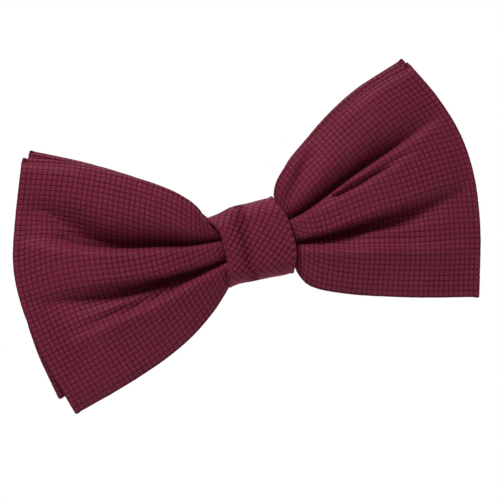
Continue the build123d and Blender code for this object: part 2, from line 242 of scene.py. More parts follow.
def smooth(points, count):
    """count points evenly spaced along a smooth curve through points."""
    points = np.array(points, float)
    at = np.concatenate([[0], np.cumsum(np.linalg.norm(np.diff(points, axis=0), axis=1) ** 0.5)])
    return along(spline(at, points, np.linspace(0, at[-1], 60 * len(points))), count)


def half_turn(steps):
    """(reach, bulge) pairs of a folded edge's section, without its two ends."""
    turns = np.linspace(0, math.pi, steps + 2)[1:-1]
    reach = np.sign(np.cos(turns)) * np.abs(np.cos(turns)) ** SQUARENESS
    return list(zip(reach, np.sin(turns) ** SQUARENESS))


def unit(vectors):
    """The same directions with length 1."""
    return vectors / np.maximum(np.linalg.norm(vectors, axis=-1, keepdims=True), 1e-12)


# ---------------------------------------------------------------- cloth lattices

def outward(edge):
    """Unit vectors in the front view that point out of a wing's outer edge."""
    run = unit(np.gradient(edge, axis=0))
    side = np.stack([run[:, 1], -run[:, 0]], 1)
    return side * np.sign(side[len(side) // 2, 0] * edge[len(edge) // 2, 0])


def wing_columns(outline, rise, tip_inset):
    """Front-view points [column, step up, x and z] of a wing from the knot to where its outer fold starts."""
    steps = 301
    top = smooth(outline["top"], WING_CELLS + 1)
    bottom = smooth(outline["bottom"], WING_CELLS + 1)
    edge = smooth(outline["edge"], steps)
    out = np.linspace(0, 1, WING_CELLS + 1)
    edge_half = CLOTH_THICK / 2
    top[:, 1] += (rise * out - edge_half)
    bottom[:, 1] += edge_half
    edge = edge - tip_inset * outward(edge)
    up = np.linspace(0, 1, steps)[None, :, None]
    out = out[:, None, None]
    waist = bottom[0] + (top[0] - bottom[0]) * up
    top_end = top[-1] - tip_inset * outward(edge)[-1]
    bottom_end = bottom[-1] - tip_inset * outward(edge)[0]
    low, high = edge[0].copy(), edge[-1].copy()
    stretch = (bottom_end - low)[None, None] * (1 - up) + (top_end - high)[None, None] * up
    places = (1 - out) * waist + out * (edge[None] + stretch)
    top_bend = top[:, None] - ((1 - out) * top[0] + out * top[-1])
    bottom_bend = bottom[:, None] - ((1 - out) * bottom[0] + out * bottom[-1])
    reach = np.concatenate([up ** 3, up], 2)
    drop = np.concatenate([(1 - up) ** 3, 1 - up], 2)
    return places + reach * top_bend + drop * bottom_bend


def crease(distance, above, below):
    """A fold's section: 1 on its line, falling off over its two widths, more firmly on its narrow side."""
    upward = distance > 0
    firm = upward == (above < below)
    power = np.where(firm, FIRM_SHOULDER, SOFT_SHOULDER)
    return np.exp(-np.abs(distance / np.where(upward, above, below)) ** power)


def off_line(fold, across, height):
    """Distance of points above a fold's line, in mm, along the line's own normal."""
    line = track(fold["line"], across)
    slope = track(fold["line"], across + 0.5) - track(fold["line"], across - 0.5)
    return (height - line) / np.sqrt(1 + slope ** 2)


def relief(out, column, folds, panel):
    """How far each point of a column stands out of its panel's level, in mm; pleats go below it."""
    across, height = np.abs(column[:, 0]), column[:, 1]
    length = travelled(column)
    up = length / length[-1]
    swell = math.sin(math.pi * min(1.0, out * DOME_GROWTH + DOME_START))
    stand = -panel["dome"] * (2 * up - 1) ** 2 * swell
    for fold in folds:
        above, below = track(fold["above"], across), track(fold["below"], across)
        shape = crease(off_line(fold, across, height), above, below)
        stand = stand - track(fold["depth"], across) * panel["folding"] * shape
    from_edge = np.minimum(up, 1 - up) * length[-1]
    share = np.clip(1 - from_edge / ROLL_WIDTH, 0, 1)
    return stand - ROLL_DEPTH * min(1.0, panel["folding"] + LEAST_ROLL) * (1 - np.sqrt(1 - share ** 2))


def row_places(length, pleats):
    """Where each row of cells lies along a column: even on the lobes, with the spare cloth in the pleats."""
    total = length[-1]
    strip = ROWS * CELL_SIZE
    middle = (pleats[0] + pleats[1]) / 2
    spare = max(0.0, strip - total)
    share = (pleats[0] + middle) / (2 * total)
    lower, upper = pleats
    cloth = [0, lower - SQUEEZED, lower + SQUEEZED + spare * share, upper - SQUEEZED + spare * share,
             upper + SQUEEZED + spare, total + spare]
    place = [0, lower - SQUEEZED, lower + SQUEEZED, upper - SQUEEZED, upper + SQUEEZED, total]
    return np.interp(np.linspace(0, total + spare, ROWS + 1), cloth, place)


def wing_lattice(outline, folds, panel, tip_inset):
    """Cell corners [column, row, x y z] of one panel of a wing, from the knot outwards."""
    columns = wing_columns(outline, panel["rise"], tip_inset)
    lattice = np.zeros((WING_CELLS + 1, ROWS + 1, 3))
    for i, column in enumerate(columns):
        out = i / WING_CELLS
        y = track(panel["levels"], out) + panel["faces"] * relief(out, column, folds, panel)
        points = np.stack([column[:, 0], y, column[:, 1]], 1)
        length = travelled(points)
        across = np.abs(column[:, 0])
        pleats = [length[np.argmin(np.abs(off_line(fold, across, column[:, 1])))] for fold in folds[:2]]
        places = row_places(length, pleats)
        lattice[i] = np.stack([np.interp(places, length, axis) for axis in points.T], 1)
    return lattice


def panel_lattice(left, right, panel, tip_inset):
    """Cell corners of a whole panel, from the left outer fold to the right one."""
    west = wing_lattice(left, LEFT_FOLDS, panel, tip_inset)
    east = wing_lattice(right, RIGHT_FOLDS, panel, tip_inset)
    share = np.linspace(0, 1, WAIST_CELLS + 1)[1:-1, None, None]
    waist = (1 - share) * west[0] + share * east[0]
    return np.concatenate([west[::-1], waist, east])


def settle(lattice):
    """Lets a panel move as cloth a little too big for its outline, so that it ripples between its pins."""
    n, m = lattice.shape[:2]
    index = np.arange(n * m).reshape(n, m)
    faces = np.stack([index[:-1, :-1], index[1:, :-1], index[1:, 1:], index[:-1, 1:]], -1).reshape(-1, 4)
    mesh = bpy.data.meshes.new("settling")
    mesh.from_pydata((lattice.reshape(-1, 3) * SETTLE_SCALE).tolist(), [], faces.tolist())
    sheet = bpy.data.objects.new("settling", mesh)
    bpy.context.scene.collection.objects.link(sheet)
    held = np.ones((n, m), bool)
    inside = slice(SETTLE_RIM, -SETTLE_RIM)
    held[SETTLE_RIM:WING_CELLS - SETTLE_RIM, inside] = False
    held[WING_CELLS + WAIST_CELLS + SETTLE_RIM + 1:-SETTLE_RIM, inside] = False
    group = sheet.vertex_groups.new(name="held")
    group.add(index[held].tolist(), 1.0, "REPLACE")
    cloth_modifier = sheet.modifiers.new("cloth", "CLOTH")
    rules = cloth_modifier.settings
    rules.quality = 5
    rules.mass = 0.2
    rules.vertex_group_mass = "held"
    rules.effector_weights.gravity = 0
    rules.bending_stiffness = 6.0
    rules.shrink_min = -SETTLE_GROWTH
    cloth_modifier.collision_settings.use_collision = False
    for step in range(1, SETTLE_FRAMES + 1):
        bpy.context.scene.frame_set(step)
    settled = sheet.evaluated_get(bpy.context.evaluated_depsgraph_get()).to_mesh()
    places = np.zeros(n * m * 3)
    settled.vertices.foreach_get("co", places)
    moved = places.reshape(n, m, 3) / SETTLE_SCALE - lattice
    for _ in range(SETTLE_EASING):
        moved[1:-1, 1:-1] = (moved[:-2, 1:-1] + moved[2:, 1:-1] + moved[1:-1, :-2] + moved[1:-1, 2:]) / 4
    reach = np.linalg.norm(moved, axis=2, keepdims=True)
    bpy.data.objects.remove(sheet)
    bpy.context.scene.frame_set(1)
    return lattice + moved * np.minimum(1, SETTLE_CAP / np.maximum(reach, 1e-6))


def ring(front, rear, inset, reach_out):
    """A tier's closed loop of cell corners at a depth inset below its outer face, from the left tip round.
    Its outer folds reach reach_out past the panels."""
    front = front + np.array([0, inset, 0])
    rear = rear - np.array([0, inset, 0])

    def fold(start, end):
        """The rounded fold at a wing's tip, from one panel's last column to the other's."""
        middle = (start + end) / 2
        radius = (start - end) / 2
        edge = along(middle[:, [0, 2]], len(middle))
        side = outward(edge)
        bulge = np.stack([side[:, 0], 0 * side[:, 0], side[:, 1]], 1)
        bulge = bulge * (reach_out - inset)
        return np.array([middle + reach * radius + out * bulge for reach, out in half_turn(FOLD_CELLS - 1)])

    return np.concatenate([front, fold(front[-1], rear[-1]), rear[::-1], fold(rear[0], front[0])])


# ---------------------------------------------------------------- meshes from grids

def cubic(where, count, wrap):
    """Which four lattice lines each place takes, and their weights, for a smooth surface."""
    k = np.floor(where).astype(int)
    k = k if wrap else np.minimum(k, count - 2)
    x = where - k
    weights = np.stack([-0.5 * x + x ** 2 - 0.5 * x ** 3, 1 - 2.5 * x ** 2 + 1.5 * x ** 3,
                        0.5 * x + 2 * x ** 2 - 1.5 * x ** 3, -0.5 * x ** 2 + 0.5 * x ** 3], 1)
    lines = k[:, None] + np.arange(-1, 3)
    return (lines % count if wrap else np.clip(lines, 0, count - 1)), weights


def sample(lattice, columns, rows):
    """Points of the smooth surface through a lattice that is closed along its columns."""
    lines, weights = cubic(columns, lattice.shape[0], True)
    part = np.einsum("nk,nkrc->nrc", weights, lattice[lines])
    lines, weights = cubic(rows, lattice.shape[1], False)
    return np.einsum("mk,nmkc->nmc", weights, part[:, lines])


def normals(grid):
    """Unit normals of a grid that is closed along its columns, on its outer side."""
    run = np.roll(grid, -1, 0) - np.roll(grid, 1, 0)
    return unit(np.cross(run, np.gradient(grid, axis=1)))


def cell_stops(first, last, fine):
    """Places of mesh lines over a run of cells: three to a cell where fine, otherwise one."""
    shares = [0, GROOVE_SHARE, 1 - GROOVE_SHARE] if fine else [0]
    return [cell + share for cell in range(first, last) for share in shares]


def edge_arc(outer, inner, before, steps):
    """The rounded edge from an outer to an inner row of points; before is the next row in on the face."""
    middle = (outer + inner) / 2
    radius = (outer - inner) / 2
    side = outer - before
    side = side - np.sum(side * unit(radius), 1, keepdims=True) * unit(radius)
    bulge = unit(side) * np.linalg.norm(radius, axis=1, keepdims=True)
    return np.stack([middle + reach * radius + out * bulge for reach, out in half_turn(steps)], 1)


def sleeve(outer, inner, row_marks, inner_marks, arc_steps=4):
    """One closed grid over the outer face, round the top edge, back over the inner face and round the bottom
    edge, with each row's place in cells."""
    top = edge_arc(outer[:, -1], inner[:, -1], outer[:, -2], arc_steps)
    bottom = edge_arc(inner[:, 0], outer[:, 0], inner[:, 1], arc_steps)
    grid = np.concatenate([outer, top, inner[:, ::-1], bottom], 1)
    edge_cells = math.pi * CLOTH_THICK / 2 / CELL_SIZE
    arc_marks = edge_cells * np.arange(1, arc_steps + 1) / (arc_steps + 1)
    last = row_marks[-1]
    back = last + edge_cells + last - np.array(inner_marks)[::-1]
    marks = np.concatenate([row_marks, last + arc_marks, back, back[-1] + arc_marks, [back[-1] + edge_cells]])
    return grid, marks


def grid_mesh(grid, column_marks, row_marks):
    """Vertices, faces and face-corner cell coordinates of a grid that is closed both ways."""
    n, m = grid.shape[:2]
    i, j = np.meshgrid(np.arange(n), np.arange(m), indexing="ij")
    corner_i = np.stack([i, i + 1, i + 1, i], -1).reshape(-1, 4)
    corner_j = np.stack([j, j, j + 1, j + 1], -1).reshape(-1, 4)
    faces = (corner_i % n) * m + corner_j % m
    cells = np.stack([np.asarray(column_marks)[corner_i], np.asarray(row_marks)[corner_j]], -1)
    return grid.reshape(-1, 3), faces, cells


def strip_mesh(grid, column_marks, row_marks):
    """As grid_mesh, for a grid that is closed only round its rows; the two ends are capped."""
    n, m = grid.shape[:2]
    vertices, faces, cells = grid_mesh(grid, np.append(column_marks, column_marks[-1] + 1), row_marks)
    keep = (n - 1) * m
    half = np.arange(m // 2 - 1)
    cap = np.stack([half, m - 1 - half, m - 2 - half, half + 1], 1)
    ends = np.concatenate([cap, (cap + keep)[:, ::-1]])
    flat = np.zeros((len(ends), 4, 2))
    return vertices, np.concatenate([faces[:keep], ends]), np.concatenate([cells[:keep], flat])


def turned(mesh_parts):
    """The same mesh facing the other way, for the walls of a pocket."""
    vertices, faces, cells = mesh_parts
    return vertices, faces[:, ::-1], cells[:, ::-1]


def tube(path, radius, sides=8):
    """A round tube along a path, with flat ends."""
    heading = unit(np.gradient(path, axis=0))
    side = [unit(np.cross(heading[0], ASKEW))]
    for direction in heading[1:]:
        side.append(unit(side[-1] - direction * (side[-1] @ direction)))
    side = np.array(side)
    other = np.cross(heading, side)
    turns = np.linspace(0, 2 * math.pi, sides, endpoint=False)[:, None, None]
    grid = np.transpose(path + radius * (np.cos(turns) * side + np.sin(turns) * other), (1, 0, 2))
    return strip_mesh(grid, travelled(path) / CELL_SIZE, np.linspace(0, 1, sides + 1))


def thread(path, radius):
    """Sewing thread along a path: two plies twisted round each other."""
    length = travelled(path)
    path = along(path, max(8, int(length[-1] / PLY_STEP)))
    heading = unit(np.gradient(path, axis=0))
    side = unit(np.cross(heading, ASKEW))
    other = np.cross(heading, side)
    turn = travelled(path)[:, None] * 2 * math.pi / PLY_TURN
    parts = []
    for phase in (0, math.pi):
        offset = np.cos(turn + phase) * side + np.sin(turn + phase) * other
        parts.append(tube(path + offset * radius / 2, radius * PLY_SHARE, 6))
    return join(parts)


def join(parts):
    """One mesh from several of (vertices, faces, cell coordinates)."""
    start = 0
    vertices, faces, cells = [], [], []
    for part_vertices, part_faces, part_cells in parts:
        vertices.append(part_vertices)
        faces.append(part_faces + start)
        cells.append(part_cells)
        start += len(part_vertices)
    return np.concatenate(vertices), np.concatenate(faces), np.concatenate(cells)


def add_piece(name, mesh_parts, material, body, slot_name, *nodes):
    """A shown piece in place of the CAD nodes named, riding on a body."""
    vertices, faces, cells = mesh_parts
    mesh = bpy.data.meshes.new(name)
    mesh.from_pydata((vertices * MM).tolist(), [], faces.tolist())
    layer = mesh.uv_layers.new(name="cells")
    layer.data.foreach_set("uv", np.asarray(cells, np.float32).ravel())
    mesh.polygons.foreach_set("use_smooth", np.ones(len(faces), bool))
    mesh.materials.append(material)
    mesh.update()
    piece = bpy.data.objects.new(name, mesh)
    bpy.context.scene.collection.objects.link(piece)
    if body:
        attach(piece, body)
    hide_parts(*nodes)
    return piece


# ---------------------------------------------------------------- materials

def shader(name):
    """A new node material and its tree and principled node."""
    material = bpy.data.materials.new(name)
    material.use_nodes = True
    tree = material.node_tree
    return material, tree, tree.nodes["Principled BSDF"]


def put(tree, target, value):
    """Links or sets one input."""
    if isinstance(value, bpy.types.NodeSocket):
        tree.links.new(value, target)
    else:
        target.default_value = value


def calc(tree, operation, *values):
    """The result of a math node."""
    node = tree.nodes.new("ShaderNodeMath")
    node.operation = operation
    for target, value in zip(node.inputs, values):
        put(tree, target, value)
    return node.outputs[0]


def ramp(tree, value, low, high, start=0.0, end=1.0):
    """value taken smoothly from low..high to start..end."""
    node = tree.nodes.new("ShaderNodeMapRange")
    node.interpolation_type = "SMOOTHSTEP"
    for target, item in zip(node.inputs, (value, low, high, start, end)):
        put(tree, target, item)
    return node.outputs[0]


def blend_colour(tree, share, first, second):
    """The first colour where share is 0, the second where it is 1."""
    node = tree.nodes.new("ShaderNodeMix")
    node.data_type = "RGBA"
    put(tree, node.inputs[0], share)
    put(tree, node.inputs[6], first)
    put(tree, node.inputs[7], second)
    return node.outputs[2]


def noise(tree, scale, detail=2.0, stretch=1.0):
    """Noise over the object's own coordinates, about 1/scale metres wide and stretch times that along X."""
    place = tree.nodes.new("ShaderNodeTexCoord")
    squeezed = tree.nodes.new("ShaderNodeMapping")
    squeezed.inputs["Scale"].default_value = (1 / stretch, 1, 1)
    node = tree.nodes.new("ShaderNodeTexNoise")
    node.inputs["Scale"].default_value = scale
    node.inputs["Detail"].default_value = detail
    tree.links.new(place.outputs["Object"], squeezed.inputs["Vector"])
    tree.links.new(squeezed.outputs["Vector"], node.inputs["Vector"])
    return node.outputs["Fac"]


def bump(tree, height, distance):
    """A surface normal from a height, where 1 is distance metres."""
    node = tree.nodes.new("ShaderNodeBump")
    node.inputs["Distance"].default_value = distance
    node.inputs["Strength"].default_value = 1.0
    tree.links.new(height, node.inputs["Height"])
    return node.outputs["Normal"]


def check_weave(name):
    """Burgundy cloth of small checks that stand proud, each made of fine slanting ribs; painted shade darkens
    the grooves between them.
    """
    material, tree, base = shader(name)
    cells = tree.nodes.new("ShaderNodeUVMap")
    cells.uv_map = "cells"
    split = tree.nodes.new("ShaderNodeSeparateXYZ")
    tree.links.new(cells.outputs[0], split.inputs[0])
    across, up = split.outputs[0], split.outputs[1]
    to_column = calc(tree, "PINGPONG", across, 0.5)
    to_row = calc(tree, "PINGPONG", up, 0.5)
    to_line = calc(tree, "MINIMUM", to_column, to_row)
    # Painted shade: the colour darkens in the lines between checks. The same mask gives the bump its grooves,
    # and random patches weaken both.
    flattened = ramp(tree, noise(tree, 45), 0.4, 0.75, 0.0, 0.35)
    raised_and_groove_shade = calc(tree, "MAXIMUM", ramp(tree, to_line, 0.03, 0.18), flattened)
    slanting = calc(tree, "ADD", across, up)
    ribs = calc(tree, "SINE", calc(tree, "MULTIPLY", slanting, 2 * math.pi * RIBS_PER_CELL))
    fuzz = noise(tree, 2600)
    patches = noise(tree, 90)
    # The darker colour is painted shade in the grooves, and also the dark end of the random ribs, fuzz and
    # patches.
    deep_tone_and_groove_shade = (0.064, 0.0044, 0.0135, 1)
    bright = (0.158, 0.0185, 0.0390, 1)
    ribs_and_groove_shade = calc(tree, "MULTIPLY_ADD", ribs, 0.06, raised_and_groove_shade)
    mottling_and_groove_shade = calc(tree, "MULTIPLY_ADD", calc(tree, "SUBTRACT", fuzz, 0.5), 0.3, ribs_and_groove_shade)
    patches_and_groove_shade = calc(tree, "MULTIPLY_ADD", calc(tree, "SUBTRACT", patches, 0.5), 0.2, mottling_and_groove_shade)
    put(tree, base.inputs["Base Color"], blend_colour(tree, patches_and_groove_shade, deep_tone_and_groove_shade, bright))
    put(tree, base.inputs["Roughness"], ramp(tree, fuzz, 0.3, 0.7, 0.5, 0.66))
    base.inputs["Specular IOR Level"].default_value = 0.12
    base.inputs["Specular Tint"].default_value = (1.0, 0.6, 0.68, 1)
    base.inputs["Sheen Weight"].default_value = 0.08
    base.inputs["Sheen Roughness"].default_value = 0.4
    base.inputs["Sheen Tint"].default_value = (0.9, 0.25, 0.38, 1)
    height = calc(tree, "MULTIPLY_ADD", ribs, 0.08, raised_and_groove_shade)
    height = calc(tree, "MULTIPLY_ADD", fuzz, 0.3, height)
    put(tree, base.inputs["Normal"], bump(tree, height, 0.00006))
    return material


def plain_fibre(name, colour, dark, fibre_scale):
    """Thread or brushed interlining: one colour, broken up by its fibres."""
    material, tree, base = shader(name)
    fibres = noise(tree, fibre_scale, 4.0)
    put(tree, base.inputs["Base Color"], blend_colour(tree, ramp(tree, fibres, 0.3, 0.7), dark, colour))
    base.inputs["Roughness"].default_value = 0.75
    base.inputs["Sheen Weight"].default_value = 0.2
    put(tree, base.inputs["Normal"], bump(tree, fibres, 0.00008))
    return material


def metal(name, colour, shade, roughness):
    """Plated or drawn steel: handling smudges in its gloss and fine scratches along X."""
    material, tree, base = shader(name)
    smudges = noise(tree, 250, 3.0)
    scratches = noise(tree, 6000, 2.0, 25.0)
    put(tree, base.inputs["Base Color"], blend_colour(tree, ramp(tree, smudges, 0.3, 0.7), shade, colour))
    gloss = ramp(tree, smudges, 0.3, 0.7, roughness, roughness + 0.08)
    put(tree, base.inputs["Roughness"], calc(tree, "MULTIPLY_ADD", scratches, 0.08, gloss))
    base.inputs["Metallic"].default_value = 1.0
    put(tree, base.inputs["Normal"], bump(tree, scratches, 0.000003))
    return material


cloth = check_weave("burgundy_check")
interlining = plain_fibre("brushed_interlining", (0.72, 0.70, 0.65, 1), (0.52, 0.50, 0.46, 1), 1500)
sewing_thread = plain_fibre("burgundy_thread", (0.13, 0.020, 0.034, 1), (0.06, 0.009, 0.016, 1), 6000)
nickel = metal("nickel_plate", (0.72, 0.70, 0.66, 1), (0.66, 0.64, 0.60, 1), 0.2)
pin_steel = metal("satin_pin_steel", (0.62, 0.61, 0.59, 1), (0.55, 0.54, 0.53, 1), 0.28)
spring_steel = metal("drawn_spring_wire", (0.5, 0.5, 0.5, 1), (0.42, 0.42, 0.43, 1), 0.3)

# ---------------------------------------------------------------- tiers


def weave_grid(lattice, columns, rows):
    """A finished cloth face: the smooth lattice surface with its grooves between cells pressed in."""
    grid = sample(lattice, columns, rows)
    to_column = np.abs(columns - np.round(columns))[:, None]
    to_row = np.abs(rows - np.round(rows))[None]
    groove = np.clip(1 - np.minimum(to_column, to_row) / GROOVE_SHARE, 0, 1)
    pitch = np.linalg.norm(np.gradient(grid, axis=1), axis=2) / np.gradient(rows)[None] / CELL_SIZE
    depth = GROOVE_DEPTH * groove * np.clip(pitch, 0, 1)
    return grid - depth[..., None] * normals(grid)


def behind(lattice, faces):
    """A panel moved back to its deepest neighbour at each point, so that a sheet there stays hidden."""
    deepest = lattice[..., 1] * -faces
    for axis, reach in enumerate(HIDE_REACH):
        steps = range(-reach, reach + 1)
        padded = np.pad(deepest, [(reach, reach) if k == axis else (0, 0) for k in range(2)], mode="edge")
        count = deepest.shape[axis]
        deepest = np.max([np.take(padded, np.arange(count) + reach + step, axis) for step in steps], axis=0)
    return np.stack([lattice[..., 0], deepest * -faces, lattice[..., 2]], -1)


def layer(front, rear, sheet, reach_out):
    """A sheet inside a tier's cloth, open at the seam behind the knot."""
    gap = sheet["gap"]
    front, rear = behind(front, -1), behind(rear, 1)
    middle = PANEL_CELLS + FOLD_CELLS + PANEL_CELLS / 2
    columns = middle + np.linspace(sheet["seam"], RING_CELLS - sheet["seam"], RING_CELLS)
    rows = np.linspace(sheet["edge"], ROWS - sheet["edge"], ROWS)
    outer = sample(ring(front, rear, gap, reach_out), columns, rows)
    inner = sample(ring(front, rear, CLOTH_THICK - gap, reach_out), columns, rows)
    grid, marks = sleeve(outer, inner, rows, rows)
    return strip_mesh(grid, columns, marks)


def tier_mesh(front, rear, columns, reach_out, inner_step):
    """A tier's cloth: its woven outer face, its inner face and the pocket that holds the interlining."""
    rows = np.array(cell_stops(0, ROWS, True) + [ROWS], float)
    inner_rows = np.arange(0, ROWS + 1, inner_step, dtype=float)
    outer = weave_grid(ring(front, rear, 0, reach_out), columns, rows)
    inner = sample(ring(front, rear, CLOTH_THICK, reach_out), columns, inner_rows)
    grid, marks = sleeve(outer, inner, rows, inner_rows)
    skin = grid_mesh(grid, np.append(columns, RING_CELLS), marks)
    return join([skin, turned(layer(front, rear, POCKET, reach_out))])


def add_tier(name, front_panel, rear_panel, left, right, fine_runs, inner_step):
    """One tier of the bow and its interlining."""
    tip_inset = (PANELS[rear_panel]["levels"][-1][1] - PANELS[front_panel]["levels"][-1][1]) / 2
    front = panel_lattice(left, right, PANELS[front_panel], tip_inset)
    rear = panel_lattice(left, right, PANELS[rear_panel], tip_inset)
    stops = []
    place = 0
    for end, fine in fine_runs:
        stops += cell_stops(place, end, fine)
        place = end
    columns = np.array(stops, float)
    front, rear = (panel + chance.normal(0, JITTER, panel.shape) for panel in (front, rear))
    front, rear = settle(front), settle(rear)
    cover = tier_mesh(front, rear, columns, tip_inset, inner_step)
    lining = layer(front, rear, LINING, tip_inset)
    add_piece(name + "_cover_cloth", cover, cloth, "bow", "bow_fabric", name + "_cover")
    add_piece(name + "_lining", lining, interlining, "bow", "interlining", name + "_interlining")


chance = np.random.default_rng(11)
REAR_START = PANEL_CELLS + FOLD_CELLS
add_tier("front_bow", "front_front", "front_rear", FRONT_LEFT, FRONT_RIGHT,
         [(REAR_START, True), (REAR_START + PANEL_CELLS, False), (RING_CELLS, True)], 1)
add_tier("back_bow", "back_front", "back_rear", BACK_LEFT, BACK_RIGHT,
         [(WING_CELLS, False), (WING_CELLS + WAIST_CELLS, False), (RING_CELLS, True)], 2)

# ---------------------------------------------------------------- knot

KNOT_Y = (-16.0, 0.0)
KNOT_HALF = 10.0           # height of its section above the middle
KNOT_CORNER = 4.2
KNOT_WALL = 1.5
KNOT_CELL = 1.36
KNOT_ROUND = 68            # length of its cloth round the knot
KNOT_ACROSS = 16.4         # and from side to side
KNOT_TILT = 0.24           # how far a cell leans from its one side to the other
KNOT_GROOVE_SHARE = 1.6 * GROOVE_SHARE
KNOT_OUTER_LINES = (423, 105)    # mesh lines of the outer face, round and across
KNOT_INNER_LINES = 15
KNOT_SHEET_LINES = (120, 61)
KNOT_LOOP_STEPS = 1441
KNOT_BELLY = 0.7           # how far the middle of its front stands out
KNOT_SET_BACK = 0.3
SEAM_Z = -4.8
SEAM_CHANNEL = ((0.55, 1.2, 0.12), (0.5, 0.3, 0.06))    # depth, half width, softness: a channel and its slit

# Side edges as (z, x), upper edge as (x, z) and lower edge as (x, depth below the middle)
KNOT_LEFT = [(-10, -9.9), (-6, -8.4), (0, -7.8), (6, -8.3), (10, -10.4)]
KNOT_RIGHT = [(-10, 7.2), (-6, 9.1), (0, 9.9), (6, 9.2), (10, 7.1)]
KNOT_TOP = [(-10.4, 9.2), (-7, 9.5), (-3.5, 10.2), (1, 10.0), (5, 9.9), (9.9, 9.7)]
KNOT_BOTTOM = [(-10.4, 9.6), (-7, 9.1), (-3.5, 9.4), (1, 9.7), (5, 10.1), (9.9, 9.9)]

# The knot's long fold left of the middle, which sways as it goes up, and the shallow hollow right of it
VALLEY_X, VALLEY_DEPTH, VALLEY_POWER = -2.0, 2.0, 1.5
VALLEY_LEFT_WIDTH, VALLEY_RIGHT_WIDTH = 1.7, 0.9
VALLEY_SWAY, VALLEY_SWAY_HEIGHT = 0.5, 6
HOLLOW_X, HOLLOW_DEPTH, HOLLOW_WIDTH, HOLLOW_LEAN = 4.6, 0.45, 1.3, 0.08

# Sheets inside the knot's cloth: how far below its faces and in from its sides, and what share of the way
# round they stop short of the seam
KNOT_POCKET = {"gap": 0.4, "trim": 0.9, "seam": 0.012}
KNOT_LINING = {"gap": 0.5, "trim": 1.1, "seam": 0.03}


def knot_loop(inset, count):
    """Points (y, z) round the knot's section from its rear seam, going down, and their outward directions."""
    corner = KNOT_CORNER - inset
    front, rear = KNOT_Y[0] + KNOT_CORNER, KNOT_Y[1] - KNOT_CORNER
    half = KNOT_HALF - KNOT_CORNER
    points = [(KNOT_Y[1] - inset, SEAM_Z)]
    centres = [(rear, -half, 0), (front, -half, -90), (front, half, -180), (rear, half, -270)]
    for y, z, start in centres:
        for turn in np.radians(np.linspace(start, start - 90, 13)):
            points.append((y + corner * math.cos(turn), z + corner * math.sin(turn)))
    points.append((KNOT_Y[1] - inset, SEAM_Z))
    loop = along(np.array(points), count)
    run = unit(np.gradient(loop, axis=0))
    return loop, np.stack([-run[:, 1], run[:, 0]], 1)


def knot_face(inset, trim, loop_marks, across_marks):
    """The knot's cloth face at a depth inset, from mesh lines given as shares round and across."""
    loop, out = knot_loop(inset, KNOT_LOOP_STEPS)
    where = np.linspace(0, 1, len(loop))
    y = np.interp(loop_marks, where, loop[:, 0])
    z = np.interp(loop_marks, where, loop[:, 1])
    out = np.stack([np.interp(loop_marks, where, out[:, k]) for k in range(2)], 1)
    left = track(KNOT_LEFT, z) + trim
    right = track(KNOT_RIGHT, z) - trim
    x = left[:, None] + (right - left)[:, None] * across_marks
    top = track(KNOT_TOP, x.ravel()).reshape(x.shape)
    bottom = track(KNOT_BOTTOM, x.ravel()).reshape(x.shape)
    z_all = z[:, None] * np.where(z[:, None] > 0, top, bottom) / KNOT_HALF
    y_all = np.repeat(y[:, None], len(across_marks), 1)
    grid = np.stack([x, y_all, z_all], -1)
    frontness = np.clip(-out[:, 0], 0, 1)[:, None]
    from_valley = x - VALLEY_X - VALLEY_SWAY * np.sin(z_all / VALLEY_SWAY_HEIGHT)
    valley_width = np.where(x > VALLEY_X, VALLEY_RIGHT_WIDTH, VALLEY_LEFT_WIDTH)
    valley = np.exp(-np.abs(from_valley / valley_width) ** VALLEY_POWER)
    hollow = np.exp(-((x - HOLLOW_X + HOLLOW_LEAN * z_all) / HOLLOW_WIDTH) ** 2)
    belly = KNOT_BELLY * np.cos(np.clip(z_all / KNOT_HALF, -1, 1) * math.pi / 2)
    stand = frontness * (belly - VALLEY_DEPTH * valley - HOLLOW_DEPTH * hollow - KNOT_SET_BACK)
    return grid + stand[..., None] * np.array([0, -1, 0])


def knot_mesh():
    """The wrapped strip: bias-woven outer face, inner face, pocket and the seam's channel at the back."""
    around, over = KNOT_OUTER_LINES
    loop_marks = np.linspace(0, 1, around, endpoint=False)
    across_marks = np.linspace(0, 1, over)
    edge = KNOT_WALL / 2
    outer = knot_face(0, edge, loop_marks, across_marks)
    inner_marks = np.linspace(0, 1, KNOT_INNER_LINES)
    inner = knot_face(KNOT_WALL, edge, loop_marks, inner_marks)
    loop_cells = loop_marks * KNOT_ROUND / KNOT_CELL
    across_cells = across_marks * KNOT_ACROSS / KNOT_CELL
    warp = (loop_cells[:, None] + across_cells) / math.sqrt(2)
    weft = (loop_cells[:, None] - across_cells) / math.sqrt(2)
    to_line = np.minimum(np.abs(warp - np.round(warp)), np.abs(weft - np.round(weft)))
    groove = 0.5 + 0.5 * np.cos(math.pi * np.clip(to_line / KNOT_GROOVE_SHARE, 0, 1))
    scales = (weft - np.floor(weft) - 0.5) * (1 - groove)
    from_seam = np.minimum(loop_marks, 1 - loop_marks)[:, None] * KNOT_ROUND
    channel = sum(depth / (1 + np.exp((from_seam - half) / soft)) for depth, half, soft in SEAM_CHANNEL)
    middle = np.array([0, sum(KNOT_Y) / 2, 0])
    out = normals(outer)
    out = out * np.sign(np.sum(out * (outer - middle) * np.array([0, 1, 1]), 2, keepdims=True))
    outer = outer - (GROOVE_DEPTH * groove + KNOT_TILT * scales + channel)[..., None] * out
    grid, marks = sleeve(outer, inner, across_cells, inner_marks * across_cells[-1])
    vertices, faces, cells = grid_mesh(grid, np.append(loop_cells, KNOT_ROUND / KNOT_CELL), marks)
    bias = np.stack([cells[..., 0] + cells[..., 1], cells[..., 0] - cells[..., 1]], -1) / math.sqrt(2)
    return join([(vertices, faces, bias), turned(knot_layer(KNOT_POCKET))])


